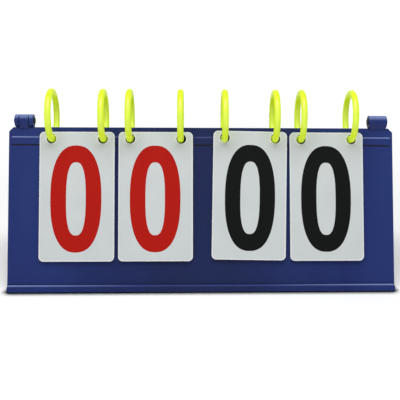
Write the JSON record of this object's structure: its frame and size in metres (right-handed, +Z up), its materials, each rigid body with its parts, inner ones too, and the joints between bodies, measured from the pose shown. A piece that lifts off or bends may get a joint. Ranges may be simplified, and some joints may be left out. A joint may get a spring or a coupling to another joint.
{
  "type": "flip scoreboard",
  "caption": "Tabletop flip scoreboard: hinged leaning panels with stacks of numbered cards that flip over on snap rings.",
  "frame": {"origin": "on the table, halfway between the front foot and the rear foot and halfway along the board", "axes": "+X along the hinge line to the right as the front is read, +Y from the front panel to the rear panel, +Z up"},
  "size_m": [0.3794, 0.1502, 0.1828],
  "materials": {
    "panel_plastic": "fine moulded grain",
    "pin_steel": "black",
    "ring_plastic": "fluorescent, slightly translucent",
    "card_sheet": "satin sheet",
    "red_print": "printed ink",
    "black_print": "printed ink"
  },
  "bodies": {
    "front_panel": {"front_panel": "panel_plastic", "left_hinge_pin": "pin_steel", "right_hinge_pin": "pin_steel"},
    "rear_panel": {"rear_panel": "panel_plastic"},
    "red_tens_left_ring": {"red_tens_left_ring": "ring_plastic"},
    "red_tens_right_ring": {"red_tens_right_ring": "ring_plastic"},
    "red_units_left_ring": {"red_units_left_ring": "ring_plastic"},
    "red_units_right_ring": {"red_units_right_ring": "ring_plastic"},
    "black_tens_left_ring": {"black_tens_left_ring": "ring_plastic"},
    "black_tens_right_ring": {"black_tens_right_ring": "ring_plastic"},
    "black_units_left_ring": {"black_units_left_ring": "ring_plastic"},
    "black_units_right_ring": {"black_units_right_ring": "ring_plastic"},
    "red_tens_card_0": {"red_tens_card_0": "card_sheet"},
    "red_units_card_0": {"red_units_card_0": "card_sheet"},
    "black_tens_card_0": {"black_tens_card_0": "card_sheet"},
    "black_units_card_0": {"black_units_card_0": "card_sheet"},
    "red_tens_card_1": {"red_tens_card_1": "card_sheet"},
    "red_units_card_1": {"red_units_card_1": "card_sheet"},
    "black_tens_card_1": {"black_tens_card_1": "card_sheet"},
    "black_units_card_1": {"black_units_card_1": "card_sheet"},
    "red_tens_card_2": {"red_tens_card_2": "card_sheet"},
    "red_units_card_2": {"red_units_card_2": "card_sheet"},
    "black_tens_card_2": {"black_tens_card_2": "card_sheet"},
    "black_units_card_2": {"black_units_card_2": "card_sheet"},
    "red_tens_card_3": {"red_tens_card_3": "card_sheet"},
    "red_units_card_3": {"red_units_card_3": "card_sheet"},
    "black_tens_card_3": {"black_tens_card_3": "card_sheet"},
    "black_units_card_3": {"black_units_card_3": "card_sheet"},
    "red_tens_card_4": {"red_tens_card_4": "card_sheet"},
    "red_units_card_4": {"red_units_card_4": "card_sheet"},
    "black_tens_card_4": {"black_tens_card_4": "card_sheet"},
    "black_units_card_4": {"black_units_card_4": "card_sheet"},
    "red_tens_card_5": {"red_tens_card_5": "card_sheet"},
    "red_units_card_5": {"red_units_card_5": "card_sheet"},
    "black_tens_card_5": {"black_tens_card_5": "card_sheet"},
    "black_units_card_5": {"black_units_card_5": "card_sheet"},
    "red_tens_card_6": {"red_tens_card_6": "card_sheet"},
    "red_units_card_6": {"red_units_card_6": "card_sheet"},
    "black_tens_card_6": {"black_tens_card_6": "card_sheet"},
    "black_units_card_6": {"black_units_card_6": "card_sheet"},
    "red_tens_card_7": {"red_tens_card_7": "card_sheet"},
    "red_units_card_7": {"red_units_card_7": "card_sheet"},
    "black_tens_card_7": {"black_tens_card_7": "card_sheet"},
    "black_units_card_7": {"black_units_card_7": "card_sheet"},
    "red_tens_card_8": {"red_tens_card_8": "card_sheet"},
    "red_units_card_8": {"red_units_card_8": "card_sheet"},
    "black_tens_card_8": {"black_tens_card_8": "card_sheet"},
    "black_units_card_8": {"black_units_card_8": "card_sheet"},
    "red_tens_card_9": {"red_tens_card_9": "card_sheet"},
    "red_units_card_9": {"red_units_card_9": "card_sheet"},
    "black_tens_card_9": {"black_tens_card_9": "card_sheet"},
    "black_units_card_9": {"black_units_card_9": "card_sheet"}
  },
  "joints": [
    {"name": "back_panel_fold", "type": "hinge", "parent": "front_panel", "child": "rear_panel", "pos_m": [0, 0, 0.15114], "axis": [1, 0, 0], "range_deg": [-50, 0]},
    {"name": "spin_red_tens_left_ring", "type": "hinge", "parent": "front_panel", "child": "red_tens_left_ring", "pos_m": [-0.1476, 0, 0.15654], "axis": [1, 0, 0], "continuous": true},
    {"name": "spin_red_tens_right_ring", "type": "hinge", "parent": "front_panel", "child": "red_tens_right_ring", "pos_m": [-0.0976, 0, 0.15654], "axis": [1, 0, 0], "continuous": true},
    {"name": "spin_red_units_left_ring", "type": "hinge", "parent": "front_panel", "child": "red_units_left_ring", "pos_m": [-0.0717, 0, 0.15654], "axis": [1, 0, 0], "continuous": true},
    {"name": "spin_red_units_right_ring", "type": "hinge", "parent": "front_panel", "child": "red_units_right_ring", "pos_m": [-0.0217, 0, 0.15654], "axis": [1, 0, 0], "continuous": true},
    {"name": "spin_black_tens_left_ring", "type": "hinge", "parent": "front_panel", "child": "black_tens_left_ring", "pos_m": [0.0217, 0, 0.15654], "axis": [1, 0, 0], "continuous": true},
    {"name": "spin_black_tens_right_ring", "type": "hinge", "parent": "front_panel", "child": "black_tens_right_ring", "pos_m": [0.0717, 0, 0.15654], "axis": [1, 0, 0], "continuous": true},
    {"name": "spin_black_units_left_ring", "type": "hinge", "parent": "front_panel", "child": "black_units_left_ring", "pos_m": [0.0976, 0, 0.15654], "axis": [1, 0, 0], "continuous": true},
    {"name": "spin_black_units_right_ring", "type": "hinge", "parent": "front_panel", "child": "black_units_right_ring", "pos_m": [0.1476, 0, 0.15654], "axis": [1, 0, 0], "continuous": true},
    {"name": "flip_0_red_tens", "type": "hinge", "parent": "front_panel", "child": "red_tens_card_0", "pos_m": [-0.1226, 0, 0.15774], "axis": [-1, 0, 0], "range_deg": [0, 306.5]},
    {"name": "flip_0_red_units", "type": "hinge", "parent": "front_panel", "child": "red_units_card_0", "pos_m": [-0.0467, 0, 0.15774], "axis": [-1, 0, 0], "range_deg": [0, 306.5]},
    {"name": "flip_0_black_tens", "type": "hinge", "parent": "front_panel", "child": "black_tens_card_0", "pos_m": [0.0467, 0, 0.15774], "axis": [-1, 0, 0], "range_deg": [0, 306.5]},
    {"name": "flip_0_black_units", "type": "hinge", "parent": "front_panel", "child": "black_units_card_0", "pos_m": [0.1226, 0, 0.15774], "axis": [-1, 0, 0], "range_deg": [0, 306.5]},
    {"name": "flip_1_red_tens", "type": "hinge", "parent": "front_panel", "child": "red_tens_card_1", "pos_m": [-0.1226, 0, 0.15774], "axis": [-1, 0, 0], "range_deg": [0, 306.5]},
    {"name": "flip_1_red_units", "type": "hinge", "parent": "front_panel", "child": "red_units_card_1", "pos_m": [-0.0467, 0, 0.15774], "axis": [-1, 0, 0], "range_deg": [0, 306.5]},
    {"name": "flip_1_black_tens", "type": "hinge", "parent": "front_panel", "child": "black_tens_card_1", "pos_m": [0.0467, 0, 0.15774], "axis": [-1, 0, 0], "range_deg": [0, 306.5]},
    {"name": "flip_1_black_units", "type": "hinge", "parent": "front_panel", "child": "black_units_card_1", "pos_m": [0.1226, 0, 0.15774], "axis": [-1, 0, 0], "range_deg": [0, 306.5]},
    {"name": "flip_2_red_tens", "type": "hinge", "parent": "front_panel", "child": "red_tens_card_2", "pos_m": [-0.1226, 0, 0.15774], "axis": [-1, 0, 0], "range_deg": [0, 306.5]},
    {"name": "flip_2_red_units", "type": "hinge", "parent": "front_panel", "child": "red_units_card_2", "pos_m": [-0.0467, 0, 0.15774], "axis": [-1, 0, 0], "range_deg": [0, 306.5]},
    {"name": "flip_2_black_tens", "type": "hinge", "parent": "front_panel", "child": "black_tens_card_2", "pos_m": [0.0467, 0, 0.15774], "axis": [-1, 0, 0], "range_deg": [0, 306.5]},
    {"name": "flip_2_black_units", "type": "hinge", "parent": "front_panel", "child": "black_units_card_2", "pos_m": [0.1226, 0, 0.15774], "axis": [-1, 0, 0], "range_deg": [0, 306.5]},
    {"name": "flip_3_red_tens", "type": "hinge", "parent": "front_panel", "child": "red_tens_card_3", "pos_m": [-0.1226, 0, 0.15774], "axis": [-1, 0, 0], "range_deg": [0, 306.5]},
    {"name": "flip_3_red_units", "type": "hinge", "parent": "front_panel", "child": "red_units_card_3", "pos_m": [-0.0467, 0, 0.15774], "axis": [-1, 0, 0], "range_deg": [0, 306.5]},
    {"name": "flip_3_black_tens", "type": "hinge", "parent": "front_panel", "child": "black_tens_card_3", "pos_m": [0.0467, 0, 0.15774], "axis": [-1, 0, 0], "range_deg": [0, 306.5]},
    {"name": "flip_3_black_units", "type": "hinge", "parent": "front_panel", "child": "black_units_card_3", "pos_m": [0.1226, 0, 0.15774], "axis": [-1, 0, 0], "range_deg": [0, 306.5]},
    {"name": "flip_4_red_tens", "type": "hinge", "parent": "front_panel", "child": "red_tens_card_4", "pos_m": [-0.1226, 0, 0.15774], "axis": [-1, 0, 0], "range_deg": [0, 306.5]},
    {"name": "flip_4_red_units", "type": "hinge", "parent": "front_panel", "child": "red_units_card_4", "pos_m": [-0.0467, 0, 0.15774], "axis": [-1, 0, 0], "range_deg": [0, 306.5]},
    {"name": "flip_4_black_tens", "type": "hinge", "parent": "front_panel", "child": "black_tens_card_4", "pos_m": [0.0467, 0, 0.15774], "axis": [-1, 0, 0], "range_deg": [0, 306.5]},
    {"name": "flip_4_black_units", "type": "hinge", "parent": "front_panel", "child": "black_units_card_4", "pos_m": [0.1226, 0, 0.15774], "axis": [-1, 0, 0], "range_deg": [0, 306.5]},
    {"name": "flip_5_red_tens", "type": "hinge", "parent": "front_panel", "child": "red_tens_card_5", "pos_m": [-0.1226, 0, 0.15774], "axis": [-1, 0, 0], "range_deg": [0, 306.5]},
    {"name": "flip_5_red_units", "type": "hinge", "parent": "front_panel", "child": "red_units_card_5", "pos_m": [-0.0467, 0, 0.15774], "axis": [-1, 0, 0], "range_deg": [0, 306.5]},
    {"name": "flip_5_black_tens", "type": "hinge", "parent": "front_panel", "child": "black_tens_card_5", "pos_m": [0.0467, 0, 0.15774], "axis": [-1, 0, 0], "range_deg": [0, 306.5]},
    {"name": "flip_5_black_units", "type": "hinge", "parent": "front_panel", "child": "black_units_card_5", "pos_m": [0.1226, 0, 0.15774], "axis": [-1, 0, 0], "range_deg": [0, 306.5]},
    {"name": "flip_6_red_tens", "type": "hinge", "parent": "front_panel", "child": "red_tens_card_6", "pos_m": [-0.1226, 0, 0.15774], "axis": [-1, 0, 0], "range_deg": [0, 306.5]},
    {"name": "flip_6_red_units", "type": "hinge", "parent": "front_panel", "child": "red_units_card_6", "pos_m": [-0.0467, 0, 0.15774], "axis": [-1, 0, 0], "range_deg": [0, 306.5]},
    {"name": "flip_6_black_tens", "type": "hinge", "parent": "front_panel", "child": "black_tens_card_6", "pos_m": [0.0467, 0, 0.15774], "axis": [-1, 0, 0], "range_deg": [0, 306.5]},
    {"name": "flip_6_black_units", "type": "hinge", "parent": "front_panel", "child": "black_units_card_6", "pos_m": [0.1226, 0, 0.15774], "axis": [-1, 0, 0], "range_deg": [0, 306.5]},
    {"name": "flip_7_red_tens", "type": "hinge", "parent": "front_panel", "child": "red_tens_card_7", "pos_m": [-0.1226, 0, 0.15774], "axis": [-1, 0, 0], "range_deg": [0, 306.5]},
    {"name": "flip_7_red_units", "type": "hinge", "parent": "front_panel", "child": "red_units_card_7", "pos_m": [-0.0467, 0, 0.15774], "axis": [-1, 0, 0], "range_deg": [0, 306.5]},
    {"name": "flip_7_black_tens", "type": "hinge", "parent": "front_panel", "child": "black_tens_card_7", "pos_m": [0.0467, 0, 0.15774], "axis": [-1, 0, 0], "range_deg": [0, 306.5]},
    {"name": "flip_7_black_units", "type": "hinge", "parent": "front_panel", "child": "black_units_card_7", "pos_m": [0.1226, 0, 0.15774], "axis": [-1, 0, 0], "range_deg": [0, 306.5]},
    {"name": "flip_8_red_tens", "type": "hinge", "parent": "front_panel", "child": "red_tens_card_8", "pos_m": [-0.1226, 0, 0.15774], "axis": [-1, 0, 0], "range_deg": [0, 306.5]},
    {"name": "flip_8_red_units", "type": "hinge", "parent": "front_panel", "child": "red_units_card_8", "pos_m": [-0.0467, 0, 0.15774], "axis": [-1, 0, 0], "range_deg": [0, 306.5]},
    {"name": "flip_8_black_tens", "type": "hinge", "parent": "front_panel", "child": "black_tens_card_8", "pos_m": [0.0467, 0, 0.15774], "axis": [-1, 0, 0], "range_deg": [0, 306.5]},
    {"name": "flip_8_black_units", "type": "hinge", "parent": "front_panel", "child": "black_units_card_8", "pos_m": [0.1226, 0, 0.15774], "axis": [-1, 0, 0], "range_deg": [0, 306.5]},
    {"name": "flip_9_red_tens", "type": "hinge", "parent": "front_panel", "child": "red_tens_card_9", "pos_m": [-0.1226, 0, 0.15774], "axis": [-1, 0, 0], "range_deg": [0, 306.5]},
    {"name": "flip_9_red_units", "type": "hinge", "parent": "front_panel", "child": "red_units_card_9", "pos_m": [-0.0467, 0, 0.15774], "axis": [-1, 0, 0], "range_deg": [0, 306.5]},
    {"name": "flip_9_black_tens", "type": "hinge", "parent": "front_panel", "child": "black_tens_card_9", "pos_m": [0.0467, 0, 0.15774], "axis": [-1, 0, 0], "range_deg": [0, 306.5]},
    {"name": "flip_9_black_units", "type": "hinge", "parent": "front_panel", "child": "black_units_card_9", "pos_m": [0.1226, 0, 0.15774], "axis": [-1, 0, 0], "range_deg": [0, 306.5]}
  ]
}
